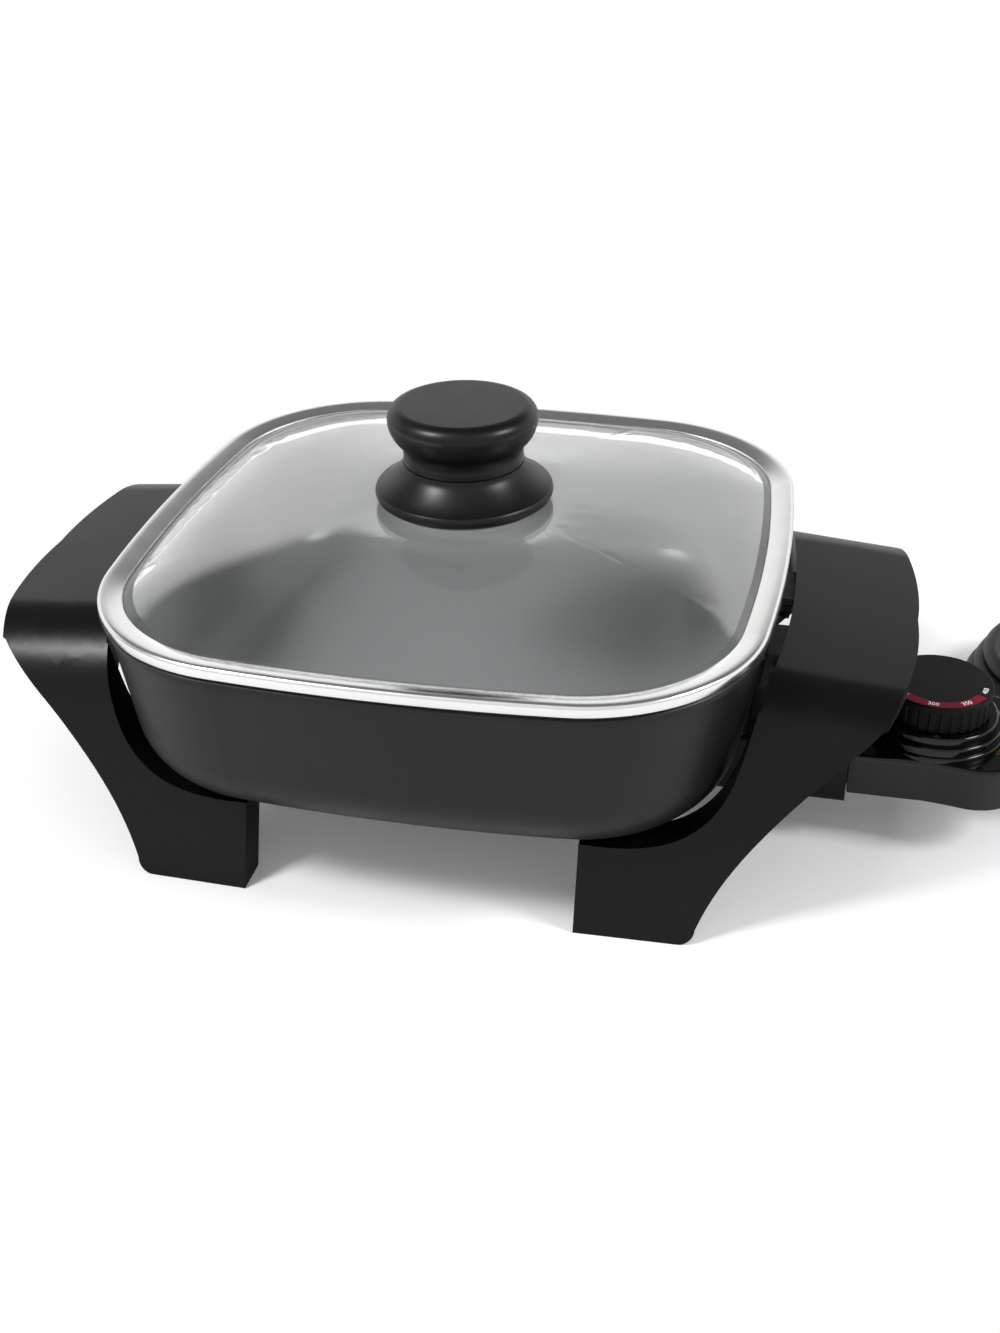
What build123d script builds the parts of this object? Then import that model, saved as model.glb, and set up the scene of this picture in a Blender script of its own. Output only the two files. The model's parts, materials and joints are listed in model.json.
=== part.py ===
from build123d import *
import os
from math import atan2, cos, degrees, pi, radians, sin, sqrt, tan

os.makedirs("parts", exist_ok=True)

# Eight-inch electric skillet. Millimetres, +Z up, origin on the table under the pan's centre.
# +X is the side the control plugs into, -Y the front.

# ---- driving dimensions -------------------------------------------------------------------
side_centre = 482.0    # a bowed side is an arc centred this far beyond the middle
corner_drop = 50.0     # a corner's radius is this much less than the outline's half width
corner_centre = (sqrt(2 * (side_centre + corner_drop) ** 2 - side_centre**2) - side_centre) / 2

pan_top = 87.6
pan_base = 31.0
pan_half_top = 106.3
wall_taper = 8.3       # degrees that the walls lean out
wall_thick = 3.7
floor_thick = 4.5
base_round = 22.0

rim_half = 108.0       # outside of the lid's steel rim
glass_thick = 3.0

handle_reach = 150.5   # outer edge of a handle at the middle
handle_top = 76.0
handle_tilt = 5.0      # degrees the grip falls towards its outer edge
skin = 3.0
flange = 2.6
ribbon = 12.0

strap_y = 19.0         # straps sit this far each side of the middle
strap_top = 71.0
strap_thick = 2.2

pin_y = 13.0           # element terminals each side of the probe
socket_z = 27.5

dial_x = 160.0
dial_top = 50.5
dial_r = 17.6

cord_r = 3.3
coil_centre = (218.0, 86.0)


def save(builder, name):
    """Label a finished piece and write it out."""
    builder.part.label = name
    export_step(builder.part, "parts/" + name + ".step")


def wall_x(z):
    """Half width of the pan's outside at a height, on the straight of its wall."""
    return pan_half_top - (pan_top - z) * tan(radians(wall_taper))


def square_outline(half, scale=1.0):
    """Plan outline of pan and lid: four bowed sides and four round corners, half this wide."""
    turn = degrees(atan2(corner_centre, corner_centre + side_centre))
    with BuildSketch() as plan:
        with BuildLine():
            for k in range(4):
                side = Vector(-side_centre * scale, 0).rotate(Axis.Z, 90 * k)
                corner = Vector(corner_centre, corner_centre).rotate(Axis.Z, 90 * k) * scale
                CenterArc(side, half + side_centre * scale, 90 * k - turn, 2 * turn)
                CenterArc(corner, half - corner_drop * scale, 90 * k + turn, 90 - 2 * turn)
        make_face()
    return plan.sketch


def wall_plane(side, y, z=63.5):
    """Plane on the pan's wall, facing straight out of it."""
    tilt = radians(wall_taper)
    return Plane(
        origin=(side * wall_x(z), y, z),
        x_dir=(0, 1, 0),
        z_dir=(side * cos(tilt), 0, -sin(tilt)),
    )


def disc(r, z0, z1, x=0.0, y=0.0, mode=Mode.ADD):
    """Upright cylinder between two heights."""
    with Locations((x, y, (z0 + z1) / 2)):
        Cylinder(r, z1 - z0, mode=mode)


def rod(r, x0, x1, y=0.0, z=0.0, mode=Mode.ADD):
    """Cylinder lying along X."""
    with Locations(((x0 + x1) / 2, y, z)):
        Cylinder(r, x1 - x0, rotation=(0, 90, 0), mode=mode)


def block(x0, x1, y0, y1, z0, z1, mode=Mode.ADD):
    """Box between two corners."""
    with Locations(((x0 + x1) / 2, (y0 + y1) / 2, (z0 + z1) / 2)):
        Box(x1 - x0, y1 - y0, z1 - z0, mode=mode)


# ---- heating element: a tube bent in a loop, cast into a ridge under the floor -----------
loop_half = 62.0
loop_points = [
    (88, pin_y),
    (66, pin_y),
    (66, loop_half),
    (-loop_half, loop_half),
    (-loop_half, -loop_half),
    (66, -loop_half),
    (66, -pin_y),
    (88, -pin_y),
]


def element_path(x_end):
    """The element's centre line, starting and ending at x_end."""
    ends = [(x_end, loop_points[0][1])] + loop_points[1:-1] + [(x_end, loop_points[-1][1])]
    return FilletPolyline(*[(x, y, socket_z) for x, y in ends], radius=12)


with BuildPart() as heating_element:
    with BuildLine():
        element_path(88)
    with BuildSketch(Plane(origin=(88, pin_y, socket_z), x_dir=(0, 1, 0), z_dir=(-1, 0, 0))):
        Circle(3.4)
    sweep()
save(heating_element, "heating_element")

with BuildPart() as terminal_insulators:
    for y in (-pin_y, pin_y):
        rod(3.9, 88, 91.5, y, socket_z)
        rod(2.4, 88, 91.5, y, socket_z, Mode.SUBTRACT)
save(terminal_insulators, "terminal_insulators")

with BuildPart() as terminal_pins:
    for y in (-pin_y, pin_y):
        rod(2.4, 88, 111, y, socket_z)
    chamfer(terminal_pins.faces().sort_by(Axis.X)[-2:].edges(), length=0.8)
save(terminal_pins, "terminal_pins")

# ---- cast pan ----------------------------------------------------------------------------
base_half = wall_x(pan_base)
inner_floor = pan_base + floor_thick
inner_top = pan_half_top - wall_thick
inner_base = inner_top - (pan_top - inner_floor) * tan(radians(wall_taper))

with BuildPart() as pan_cavity:
    with BuildSketch(Plane.XY.offset(inner_floor)):
        add(square_outline(inner_base))
    extrude(amount=pan_top - inner_floor + 5, taper=-wall_taper)
    fillet(pan_cavity.faces().sort_by(Axis.Z)[0].edges(), radius=base_round - 4)

with BuildPart() as pan:
    with BuildSketch(Plane.XY.offset(pan_base)):
        add(square_outline(base_half))
    extrude(amount=pan_top - pan_base, taper=-wall_taper)
    fillet(pan.faces().sort_by(Axis.Z)[0].edges(), radius=base_round)
    # poured lip round the rim
    with BuildSketch(Plane.XY.offset(pan_top - 2.2)):
        add(square_outline(pan_half_top + 0.8))
    extrude(amount=2.2)
    chamfer(pan.faces().sort_by(Axis.Z)[-1].edges(), length=0.6)
    # ridge that holds the element, and the well that the control's probe slides into
    with BuildLine():
        element_path(80)
    with BuildSketch(Plane(origin=(80, pin_y, socket_z), x_dir=(0, 1, 0), z_dir=(-1, 0, 0))):
        Circle(6.2)
        with Locations((0, 4)):
            Rectangle(12.4, 8)
    sweep()
    block(42, 80, -6, 6, 24, pan_base + 1)
    rod(6, 42, 80, 0, socket_z - 0.5)
    # bosses for the socket shroud
    for y in (-30, 30):
        disc(4.5, 26, 34, 79, y)
    add(pan_cavity.part, mode=Mode.SUBTRACT)
    rod(3.5, 44, 81, 0, socket_z, Mode.SUBTRACT)
    for y in (-30, 30):
        disc(1.5, 25, 33.5, 79, y, Mode.SUBTRACT)
    add(heating_element.part, mode=Mode.SUBTRACT)
    # flat pads and threaded studs for the handle straps
    for side in (-1, 1):
        for y in (-strap_y, strap_y):
            pad = wall_plane(side, y)
            with BuildSketch(pad.offset(-2)):
                Rectangle(18, 9.5)
            extrude(amount=2.45)
            with BuildSketch(pad):
                Circle(2)
            extrude(amount=7)
save(pan, "pan")

# ---- handles: one moulded bridge each side, grip on top and a leg at each end ------------
leg_slope = 0.3056     # how far a leg leans in over each millimetre of height
foot_y = 89.0
top_bend = 30.0        # radius of the shoulder, outside
under_bend = 46.0      # the flanges are deeper in the corner under the shoulder
tilt = radians(handle_tilt)
lean_dir = Vector(cos(tilt), 0, -sin(tilt))
rise = (110 - 40) * tan(tilt)


def arch(inset, bend):
    """Everything under the bridge shape, seen from the side, moved in by inset."""
    shift = inset * sqrt(1 + leg_slope**2)
    top = handle_top - inset
    y_low = foot_y + 20 * leg_slope - shift
    y_top = foot_y - top * leg_slope - shift
    with BuildSketch() as side:
        Polygon((-y_low, -20), (y_low, -20), (y_top, top), (-y_top, top), align=None)
        fillet(side.vertices().group_by(Axis.Y)[-1], radius=bend - inset)
    return side.sketch


def moved_in(points, inset):
    """Points of a curve, each moved along its own direction by inset."""
    return [(x + dx * inset, z + dz * inset) for x, z, dx, dz in points]


# each point: place, and the way into the material
leg_outside = [
    (91.6, 5.0, -1.0, 0.1),
    (99.8, 22.0, -0.9, 0.45),
    (112.2, 39.0, -0.71, 0.7),
    (128.3, 56.3, -0.66, 0.75),
    (141.4, 67.2, -0.62, 0.78),
]
leg_inside = [
    (104.5, 70.0, 1.0, -0.1),
    (101.0, 56.0, 0.97, -0.25),
    (95.5, 42.5, 0.87, -0.5),
    (85.5, 33.0, 0.5, -0.87),
    (70.0, 28.3, 0.1, -1.0),
    (58.0, 27.9, 0.0, -1.0),
]


def front_shape(inset):
    """Handle seen from the front: foot, leg that sweeps outwards, grip end."""
    bottom = inset
    with BuildSketch() as front:
        with BuildLine():
            outer = Spline(*moved_in(leg_outside, inset))
            Line(outer @ 1, (156 - inset, 70.6 + inset))
            Line((156 - inset, 70.6 + inset), (156 - inset, 82))
            Line((156 - inset, 82), (100 + inset, 82))
            inner = Spline(*moved_in(leg_inside, inset))
            Line((100 + inset, 82), inner @ 0)
            Line(inner @ 1, (54 + inset, 27.9 - inset))
            Line((54 + inset, 27.9 - inset), (54 + inset, bottom))
            Line((54 + inset, bottom), (86.4, bottom))
            ThreePointArc((86.4, bottom), (90.2 - inset, 1.6 + inset), outer @ 0)
        make_face()
    return front.sketch


def plan_shape(inset):
    """Handle seen from above: bowed outer edge, inner edge that follows the pan."""
    with BuildSketch() as plan:
        with BuildLine():
            ThreePointArc((135, -80), (147.3 - inset, -44), (handle_reach - inset, 0))
            ThreePointArc((handle_reach - inset, 0), (147.3 - inset, 44), (135, 80))
            Polyline((135, 80), (135, 100), (40, 100), (40, 62), (105.2 + inset, 62))
            ThreePointArc((105.2 + inset, 62), (110.5 + inset, 0), (105.2 + inset, -62))
            Polyline((105.2 + inset, -62), (40, -62), (40, -100), (135, -100), (135, -80))
        make_face()
    return plan.sketch


with BuildPart() as handle_pocket:
    with BuildSketch(Plane.YZ.offset(40)):
        with Locations((0, rise)):
            add(arch(skin, top_bend))
    extrude(amount=130, dir=lean_dir)
    with BuildSketch(Plane.XZ):
        add(front_shape(flange))
    extrude(amount=110, both=True, mode=Mode.INTERSECT)
    with BuildSketch(Plane.XY.offset(-30)):
        add(plan_shape(flange))
    extrude(amount=130, mode=Mode.INTERSECT)

with BuildPart() as handle_right:
    with BuildSketch(Plane.YZ.offset(40)):
        with Locations((0, rise)):
            add(arch(0, top_bend))
            add(arch(ribbon, under_bend), mode=Mode.SUBTRACT)
    extrude(amount=130, dir=lean_dir)
    with BuildSketch(Plane.XZ):
        add(front_shape(0))
    extrude(amount=110, both=True, mode=Mode.INTERSECT)
    with BuildSketch(Plane.XY.offset(-30)):
        add(plan_shape(0))
    extrude(amount=130, mode=Mode.INTERSECT)
    add(handle_pocket.part, mode=Mode.SUBTRACT)
    for y in (-strap_y, strap_y):
        # screw bosses under the grip, and the slots where the straps come in
        disc(3.8, strap_top, 73.0, 124, y)
        disc(1.5, strap_top - 1, 73.8, 124, y, Mode.SUBTRACT)
        block(105, 114.5, y - 11.4, y + 11.4, 60, strap_top + 0.4, Mode.SUBTRACT)
    for y in (-36, 0, 36):
        # stiffening webs across the channel
        block(112, 144, y - 0.8, y + 0.8, 68.0, 71.0)
save(handle_right, "handle_right")

with BuildPart() as handle_left:
    mirror(handle_right.part, about=Plane.YZ)
save(handle_left, "handle_left")

# ---- steel straps from the pan's wall out under each grip --------------------------------
strap_end = 132.0
strap_low = strap_top - strap_thick - 9.8


def strap_pair(side):
    """Two bent straps on one side of the pan, with holes for stud and screw."""
    stand = 0.5
    with BuildPart() as pair:
        for y in (-strap_y, strap_y):
            with BuildSketch(Plane.XZ.offset(-y)):
                Polygon(
                    (wall_x(strap_low) + stand, strap_low),
                    (wall_x(strap_top) + stand, strap_top),
                    (strap_end, strap_top),
                    (strap_end, strap_top - strap_thick),
                    (wall_x(strap_low + 9.8) + stand + strap_thick, strap_low + 9.8),
                    (wall_x(strap_low) + stand + strap_thick, strap_low),
                    align=None,
                )
            extrude(amount=10, both=True)
        ends = pair.edges().filter_by(Axis.Z)
        fillet(ends.group_by(Axis.X)[-1], radius=4)
        for y in (-strap_y, strap_y):
            disc(1.8, 60, 74, 124, y, Mode.SUBTRACT)
            with BuildSketch(wall_plane(1, y)):
                Circle(2.15)
            extrude(amount=7, mode=Mode.SUBTRACT)
    if side < 0:
        return mirror(pair.part, about=Plane.YZ, mode=Mode.PRIVATE)
    return pair.part


with BuildPart() as straps_right:
    add(strap_pair(1))
save(straps_right, "straps_right")

with BuildPart() as straps_left:
    add(strap_pair(-1))
save(straps_left, "straps_left")

with BuildPart() as stud_washers:
    for side in (-1, 1):
        for y in (-strap_y, strap_y):
            with BuildSketch(wall_plane(side, y).offset(0.5 + strap_thick + 0.05)):
                Circle(4.2)
                Circle(2.15, mode=Mode.SUBTRACT)
            extrude(amount=0.8)
save(stud_washers, "stud_washers")

with BuildPart() as stud_nuts:
    for side in (-1, 1):
        for y in (-strap_y, strap_y):
            with BuildSketch(wall_plane(side, y).offset(0.5 + strap_thick + 0.9)):
                RegularPolygon(4.0, 6)
                Circle(2.05, mode=Mode.SUBTRACT)
            extrude(amount=3.0)
save(stud_nuts, "stud_nuts")

with BuildPart() as handle_screws:
    for side in (-1, 1):
        for y in (-strap_y, strap_y):
            disc(1.45, strap_top - strap_thick - 1, 73.6, side * 124, y)
            disc(3.1, strap_top - strap_thick - 2.2, strap_top - strap_thick - 0.05, side * 124, y)
    fillet(handle_screws.faces().group_by(Axis.Z)[0].edges(), radius=0.9)
    for side in (-1, 1):
        for y in (-strap_y, strap_y):
            with Locations((side * 124, y, strap_top - strap_thick - 2.2)):
                Box(3.4, 0.8, 1.8, mode=Mode.SUBTRACT)
                Box(0.8, 3.4, 1.8, mode=Mode.SUBTRACT)
save(handle_screws, "handle_screws")

# ---- shroud round the terminals, which guides the control plug in ------------------------
shroud_end = 133.2
shroud_wall = 2.2


with BuildPart() as shroud_hollow:
    # room inside: open at the mouth, and open above where the element comes in
    with BuildSketch(Plane.XZ):
        Polygon(
            (80, 15.5 + shroud_wall),
            (shroud_end + 2, 15.5 + shroud_wall),
            (shroud_end + 2, 37.5 - shroud_wall),
            (101, 37.5 - shroud_wall),
            (95, 45),
            (80, 45),
            align=None,
        )
    extrude(amount=26 - shroud_wall, both=True)

with BuildPart() as socket_shroud:
    with BuildSketch(Plane.XZ):
        Polygon(
            (82, 15.5),
            (shroud_end, 15.5),
            (shroud_end, 37.5),
            (100, 37.5),
            (88, 30.6),
            (82, 30.6),
            align=None,
        )
    extrude(amount=26, both=True)
    fillet(socket_shroud.edges().filter_by(Axis.X), radius=2.0)
    add(shroud_hollow.part, mode=Mode.SUBTRACT)
    for y in (-30, 30):
        # ears that screw to the pan's bosses
        block(73, 86, y - 5, y + 5, 23.4, 25.8)
        disc(1.8, 22, 27, 79, y, Mode.SUBTRACT)
    # lead-in bevel round the mouth
    mouth = socket_shroud.faces().sort_by(Axis.X)[-1].inner_wires()[0].edges()
    chamfer(mouth, length=0.9)
save(socket_shroud, "socket_shroud")

with BuildPart() as shroud_screws:
    for y in (-30, 30):
        disc(1.45, 22, 32, 79, y)
        disc(3.1, 21.2, 23.35, 79, y)
    fillet(shroud_screws.faces().group_by(Axis.Z)[0].edges(), radius=0.9)
    for y in (-30, 30):
        with Locations((79, y, 21.2)):
            Box(3.4, 0.8, 1.8, mode=Mode.SUBTRACT)
            Box(0.8, 3.4, 1.8, mode=Mode.SUBTRACT)
save(shroud_screws, "shroud_screws")

# ---- lid: domed glass in a rolled steel rim ----------------------------------------------
glass_half = 103.8
glass_edge_low = 88.6
glass_edge_high = 90.85
dome_rings = [(100.2, 90.85), (92.5, 94.6), (77.0, 98.6), (55.0, 101.8), (33.0, 103.4)]

with BuildPart() as glass_under:
    for half, z in dome_rings:
        with BuildSketch(Plane.XY.offset(z - glass_thick)):
            add(square_outline(half - 2.2, (half - 2.2) / 100.0))
    loft()

with BuildPart() as lid_glass:
    for half, z in dome_rings:
        with BuildSketch(Plane.XY.offset(z)):
            add(square_outline(half, half / 100.0))
    loft()
    with BuildSketch(Plane.XY.offset(glass_edge_low)):
        add(square_outline(glass_half))
    extrude(amount=glass_edge_high - glass_edge_low)
    add(glass_under.part, mode=Mode.SUBTRACT)
    with BuildSketch(Plane.XY.offset(glass_edge_low - 5)):
        add(square_outline(dome_rings[0][0] - 2.2, (dome_rings[0][0] - 2.2) / 100.0))
    extrude(amount=5 + dome_rings[0][1] - glass_thick - glass_edge_low + 0.01, mode=Mode.SUBTRACT)
    disc(3.4, 95, 110, mode=Mode.SUBTRACT)
save(lid_glass, "lid_glass")

with BuildPart() as lid_rim:
    # the rolled section is swept once round the lid, from the middle of the +X side
    with BuildLine():
        turn = degrees(atan2(corner_centre, corner_centre + side_centre))
        CenterArc((-side_centre, 0), rim_half + side_centre, 0, turn)
        for k in range(4):
            corner = Vector(corner_centre, corner_centre).rotate(Axis.Z, 90 * k)
            CenterArc(corner, rim_half - corner_drop, 90 * k + turn, 90 - 2 * turn)
            side = Vector(-side_centre, 0).rotate(Axis.Z, 90 * k + 90)
            sweep_angle = turn if k == 3 else 2 * turn
            CenterArc(side, rim_half + side_centre, 90 * k + 90 - turn, sweep_angle)
    with BuildSketch(Plane.XZ):
        with BuildLine():
            Line((108.0, 88.9), (108.0, 91.1))
            ThreePointArc((108.0, 91.1), (107.6, 92.1), (106.6, 92.5))
            Line((106.6, 92.5), (104.7, 92.5))
            Polyline((104.7, 92.5), (100.5, 91.4), (100.5, 90.95), (104.1, 90.95), (104.1, 88.5))
            Polyline((104.1, 88.5), (100.7, 88.5), (100.4, 84.4))
            ThreePointArc((100.4, 84.4), (100.9, 83.9), (101.4, 84.4))
            Polyline((101.4, 84.4), (101.5, 87.9), (104.9, 87.9), (104.9, 91.6), (107.2, 91.6))
            Polyline((107.2, 91.6), (107.2, 88.9), (108.0, 88.9))
        make_face()
    sweep()
save(lid_rim, "lid_rim")

# ---- knob: two mouldings turned about the middle, held by one screw through the glass ----
dome_top = dome_rings[-1][1]
with BuildPart() as knob_base:
    with BuildSketch(Plane.XZ):
        with BuildLine():
            Line((4, dome_top + 0.8), (27.2, dome_top + 0.8))
            ThreePointArc((27.2, dome_top + 0.8), (29.5, 106.4), (28.9, 108.3))
            neck_curve = [(28.9, 108.3), (24.2, 111.6), (21.2, 114.6), (20.0, 117.0)]
            Spline(*neck_curve, tangents=[(-1, 0.5), (-0.2, 1)])
            Polyline((20.0, 117.0), (16.5, 117.0), (16.5, 112.0), (4, 112.0), (4, dome_top + 0.8))
        make_face()
    revolve(axis=Axis.Z)
    # moulded pocket underneath
    with BuildSketch(Plane.XZ):
        Polygon((8, dome_top), (26, dome_top), (24, 107.0), (17, 109.2), (8, 109.2), align=None)
    revolve(axis=Axis.Z, mode=Mode.SUBTRACT)
save(knob_base, "knob_base")

with BuildPart() as knob_cap:
    with BuildSketch(Plane.XZ):
        with BuildLine():
            Line((0, 136.0), (20.3, 136.0))
            ThreePointArc((20.3, 136.0), (23.4, 134.6), (24.6, 131.4))
            ThreePointArc((24.6, 131.4), (23.3, 126.6), (20.6, 123.4))
            ThreePointArc((20.6, 123.4), (19.9, 121.6), (19.8, 119.0))
            Polyline((19.8, 119.0), (19.8, 117.3), (16.2, 117.3), (16.2, 113.0), (13.5, 113.0))
            Polyline((13.5, 113.0), (13.5, 130.0), (6.5, 132.0), (6.5, 112.3), (2.6, 112.3))
            Polyline((2.6, 112.3), (2.6, 126.0), (0, 126.0), (0, 136.0))
        make_face()
    revolve(axis=Axis.Z)
    for k in range(4):
        with Locations(Rotation(0, 0, 45 + 90 * k)):
            with Locations((10, 0, 122)):
                Box(8.0, 1.6, 17)
save(knob_cap, "knob_cap")

with BuildPart() as knob_gasket:
    disc(26.8, dome_top + 0.05, dome_top + 0.75)
    disc(5.0, dome_top, dome_top + 1, mode=Mode.SUBTRACT)
save(knob_gasket, "knob_gasket")

under = dome_top - glass_thick
with BuildPart() as knob_seal:
    disc(7.5, under - 1.2, under - 0.05)
    disc(2.6, under - 1.5, under, mode=Mode.SUBTRACT)
save(knob_seal, "knob_seal")

with BuildPart() as knob_washer:
    disc(8.5, under - 2.2, under - 1.25)
    disc(2.4, under - 2.5, under - 1, mode=Mode.SUBTRACT)
    fillet(knob_washer.edges().group_by(Axis.Z)[0].sort_by(SortBy.LENGTH)[-1], radius=0.5)
save(knob_washer, "knob_washer")

with BuildPart() as knob_screw:
    disc(2.2, under - 2.3, 124.0)
    disc(4.2, under - 4.6, under - 2.25)
    fillet(knob_screw.faces().sort_by(Axis.Z)[0].edges(), radius=1.4)
    with Locations((0, 0, under - 4.6)):
        Box(5.0, 1.0, 2.4, mode=Mode.SUBTRACT)
        Box(1.0, 5.0, 2.4, mode=Mode.SUBTRACT)
save(knob_screw, "knob_screw")

with BuildPart() as knob_insert:
    disc(2.6, 113.0, 125.9)
    disc(2.25, 112.0, 124.6, mode=Mode.SUBTRACT)
save(knob_insert, "knob_insert")

# ---- plug-in control: tray, glossy cover, dial, probe and thermostat ---------------------
tray_low = 17.5
split = 31.0
nose_start = 98.0
body_start = 133.5
body_end = 192.0
cord_z = 25.35
tray_screws = [(141, -18.5), (141, 18.5), (168, -19.5), (168, 19.5)]


def control_plan(inset):
    """Control body seen from above: straight flanks that flare into a rounded end."""
    with BuildSketch() as plan:
        with BuildLine():
            Line((body_start + inset, 0), (body_start + inset, 23.5 - inset))
            Line((body_start + inset, 23.5 - inset), (158, 23.5 - inset))
            Spline((158, 23.5 - inset), (165, 24.4 - inset), (172, 25.6 - inset))
            ThreePointArc(
                (172, 25.6 - inset),
                (186.5 - 0.7 * inset, 20.3 - 0.7 * inset),
                (body_end - inset, 7),
            )
            Line((body_end - inset, 7), (body_end - inset, 0))
            mirror(about=Plane.XZ)
        make_face()
    return plan.sketch


with BuildPart() as control_tray:
    with BuildSketch(Plane.XY.offset(tray_low)):
        add(control_plan(0))
    extrude(amount=split - tray_low)
    fillet(control_tray.faces().sort_by(Axis.Z)[0].edges(), radius=1.6)
    block(nose_start, body_start + 1, -20, 20, 19.5, split)
    with BuildSketch(Plane.XY.offset(tray_low + 2.2)):
        add(control_plan(2.2))
    extrude(amount=split, mode=Mode.SUBTRACT)
    block(nose_start + 3, body_start + 4, -17.8, 17.8, 21.5, split + 1, Mode.SUBTRACT)
    for x, y in tray_screws:
        disc(3.0, tray_low + 1, split, x, y)
        disc(1.3, tray_low, split + 1, x, y, Mode.SUBTRACT)
        disc(2.7, tray_low - 1, tray_low + 1.6, x, y, Mode.SUBTRACT)
    for y in (-pin_y, pin_y):
        rod(3.42, nose_start - 1, nose_start + 4, y, socket_z, Mode.SUBTRACT)
    rod(3.3, nose_start - 1, nose_start + 4, 0, socket_z, Mode.SUBTRACT)
    rod(4.45, body_end - 4, body_end + 1, 0, cord_z, Mode.SUBTRACT)
save(control_tray, "control_tray")

with BuildPart() as control_cover:
    with BuildSketch(Plane.XY.offset(split)):
        add(control_plan(0))
    extrude(amount=2.2)
    fillet(control_cover.faces().sort_by(Axis.Z)[-1].edges(), radius=1.4)
    block(nose_start, body_start + 3, -20, 20, split, split + 2)
    # stepped round platform under the dial
    for r, z in ((23.2, 34.8), (22.2, 37.7), (20.4, 40.6)):
        disc(r, split, z, dial_x)
        top = control_cover.faces().sort_by(Axis.Z)[-1]
        fillet(top.outer_wire().edges(), radius=0.9)
    disc(18.2, split - 1, 38.4, dial_x, mode=Mode.SUBTRACT)
    disc(5.0, 37.0, 39.0, dial_x)
    disc(3.02, 36.0, 42.0, dial_x, mode=Mode.SUBTRACT)
    for x, y in tray_screws:
        disc(1.25, split - 1, split + 1.7, x, y, Mode.SUBTRACT)
    disc(2.4, split - 1, 35, 182.5, -12, Mode.SUBTRACT)
save(control_cover, "control_cover")

with BuildPart() as control_screws:
    for x, y in tray_screws:
        disc(1.2, tray_low + 0.5, split + 1.6, x, y)
        disc(2.5, tray_low + 0.3, tray_low + 1.55, x, y)
        with Locations((x, y, tray_low + 0.3)):
            Box(3.2, 0.7, 1.2, mode=Mode.SUBTRACT)
            Box(0.7, 3.2, 1.2, mode=Mode.SUBTRACT)
save(control_screws, "control_screws")

with BuildPart() as index_mark:
    with BuildSketch(Plane.XY.offset(40.6)):
        Polygon((dial_x - 1.1, -19.4), (dial_x + 1.1, -19.4), (dial_x, -17.9), align=None)
    extrude(amount=0.35)
save(index_mark, "index_mark")

with BuildPart() as sensor_probe:
    rod(3.15, 50, 137, 0, socket_z)
    fillet(sensor_probe.faces().sort_by(Axis.X)[0].edges(), radius=2.4)
save(sensor_probe, "sensor_probe")

with BuildPart() as probe_collar:
    rod(5.2, 130, 134.2, 0, socket_z)
    rod(3.15, 129, 135, 0, socket_z, Mode.SUBTRACT)
    chamfer(probe_collar.faces().sort_by(Axis.X)[0].outer_wire().edges(), length=0.6)
    block(129, 135, -6, 6, split - 0.1, split + 4, Mode.SUBTRACT)
save(probe_collar, "probe_collar")

with BuildPart() as socket_contacts:
    for y in (-pin_y, pin_y):
        rod(3.4, nose_start + 0.4, 116, y, socket_z)
        rod(2.75, nose_start, 113, y, socket_z, Mode.SUBTRACT)
        # spring slot along the sleeve, and the tail that a lead is welded to
        block(nose_start, 110, y - 0.5, y + 0.5, socket_z, socket_z + 5, Mode.SUBTRACT)
        block(115.5, 140, y - 1.5, y + 1.5, socket_z - 0.4, socket_z + 0.4)
save(socket_contacts, "socket_contacts")

stack_x = 172.0
with BuildPart() as thermostat_frame:
    block(134.2, 180, -7, 7, 21.8, 23.2)
    block(134.2, 135.6, -9, 9, 21.8, split - 0.1)
    fillet(thermostat_frame.edges().filter_by(Axis.X).group_by(Axis.Z)[-1], radius=2)
    rod(3.15, 133, 137, 0, socket_z, Mode.SUBTRACT)
    disc(1.45, 21, 24, stack_x, 0, Mode.SUBTRACT)
save(thermostat_frame, "thermostat_frame")

with BuildPart() as bimetal_blade:
    block(141, 176, -3.5, 3.5, 26.4, 27.2)
    disc(1.45, 26, 28, stack_x, 0, Mode.SUBTRACT)
save(bimetal_blade, "bimetal_blade")

with BuildPart() as contact_blade:
    block(144, 178, -2.6, 2.6, 29.6, 30.1)
    disc(1.45, 29, 31, stack_x, 0, Mode.SUBTRACT)
save(contact_blade, "contact_blade")

with BuildPart() as contact_buttons:
    disc(1.8, 27.2, 28.3, 147, 0)
    disc(1.8, 28.5, 29.6, 147, 0)
save(contact_buttons, "contact_buttons")

with BuildPart() as follower_pin:
    disc(1.3, 30.1, 33.2, 154, 0)
    fillet(follower_pin.faces().sort_by(Axis.Z)[-1].edges(), radius=0.7)
save(follower_pin, "follower_pin")

with BuildPart() as stack_insulators:
    for z0, z1 in ((23.2, 26.4), (27.2, 29.6), (30.1, 32.2)):
        disc(3.9, z0, z1, stack_x, 0)
        disc(1.45, z0, z1, stack_x, 0, Mode.SUBTRACT)
save(stack_insulators, "stack_insulators")

with BuildPart() as stack_screw:
    disc(1.4, 20.6, 33.0, stack_x, 0)
    disc(2.8, 32.2, 33.9, stack_x, 0)
    fillet(stack_screw.faces().sort_by(Axis.Z)[-1].edges(), radius=0.8)
save(stack_screw, "stack_screw")

lead_routes = [
    # from the cord, and from the thermostat, each to its contact
    [(178.9, -1.6, cord_z), (172, -11, 25.6), (156, -15, 26.4), (141.0, -13, socket_z)],
    [(167.5, 4.9, 26.8), (159, 11, 26.9), (150, 13.6, 27.2), (141.0, 13, socket_z)],
]
with BuildPart() as inner_leads:
    for route in lead_routes:
        with BuildLine():
            FilletPolyline(*route, radius=8)
        with BuildSketch(Plane(origin=route[0], z_dir=Vector(*route[1]) - Vector(*route[0]))):
            Circle(0.9)
        sweep()
save(inner_leads, "inner_leads")

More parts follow.
